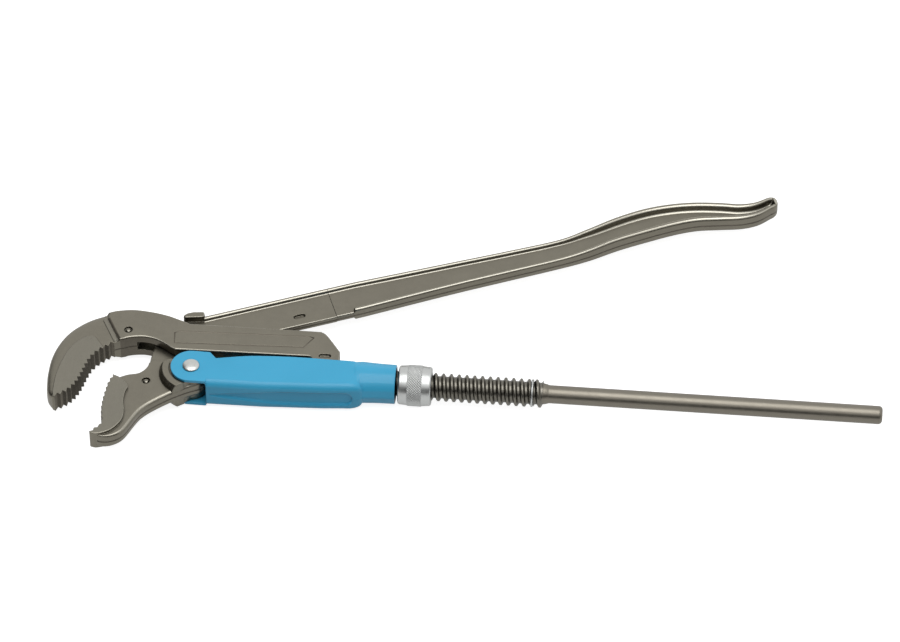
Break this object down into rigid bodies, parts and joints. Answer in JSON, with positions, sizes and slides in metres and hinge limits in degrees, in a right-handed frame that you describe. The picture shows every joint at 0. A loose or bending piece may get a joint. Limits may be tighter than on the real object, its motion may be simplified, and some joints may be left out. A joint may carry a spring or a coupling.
{
  "type": "pipe wrench",
  "caption": "Swedish-pattern pipe wrench with S-shaped toothed jaws, a pressed housing, an adjusting nut on a threaded spindle and an I-section lever.",
  "frame": {"origin": "in the flat of the pivot rivet's tail, on the rivet's axis; the wrench lies on this plane", "axes": "+X along the spindle towards its plain round handle, +Y across towards the lever's handle, +Z along the pivot rivet, out of its domed head"},
  "size_m": [0.5553, 0.2585, 0.0277],
  "materials": {
    "burnished_steel": "forged tool steel, shot-blasted and phosphated, satin grey-brown",
    "bright_zinc": "bright zinc plate",
    "blue_gloss_paint": "glossy blue paint on pressed steel sheet"
  },
  "bodies": {
    "fixed_leg": {"upper_jaw": "burnished_steel", "threaded_spindle": "burnished_steel", "stop_ring": "bright_zinc"},
    "housing": {"housing": "blue_gloss_paint", "pivot_rivet": "bright_zinc"},
    "nut": {"adjusting_nut": "bright_zinc"},
    "lever": {"lower_jaw": "burnished_steel", "lever_handle": "burnished_steel"}
  },
  "joints": [
    {"name": "housing_slide", "type": "slide", "parent": "fixed_leg", "child": "housing", "axis": [1, 0, 0], "range_m": [-0.007, 0.036]},
    {"name": "nut_turn", "type": "hinge", "parent": "housing", "child": "nut", "pos_m": [0.1493, 0.0055, 0.01385], "axis": [1, 0, 0], "range_deg": [-600, 2700]},
    {"name": "lever_pivot", "type": "hinge", "parent": "housing", "child": "lever", "pos_m": [0, 0, 0.01385], "axis": [0, 0, 1], "range_deg": [-14, 4]}
  ],
  "couplings": [
    {"joint": "nut_turn", "follows": "housing_slide", "rad_per_m": 1208.3}
  ]
}
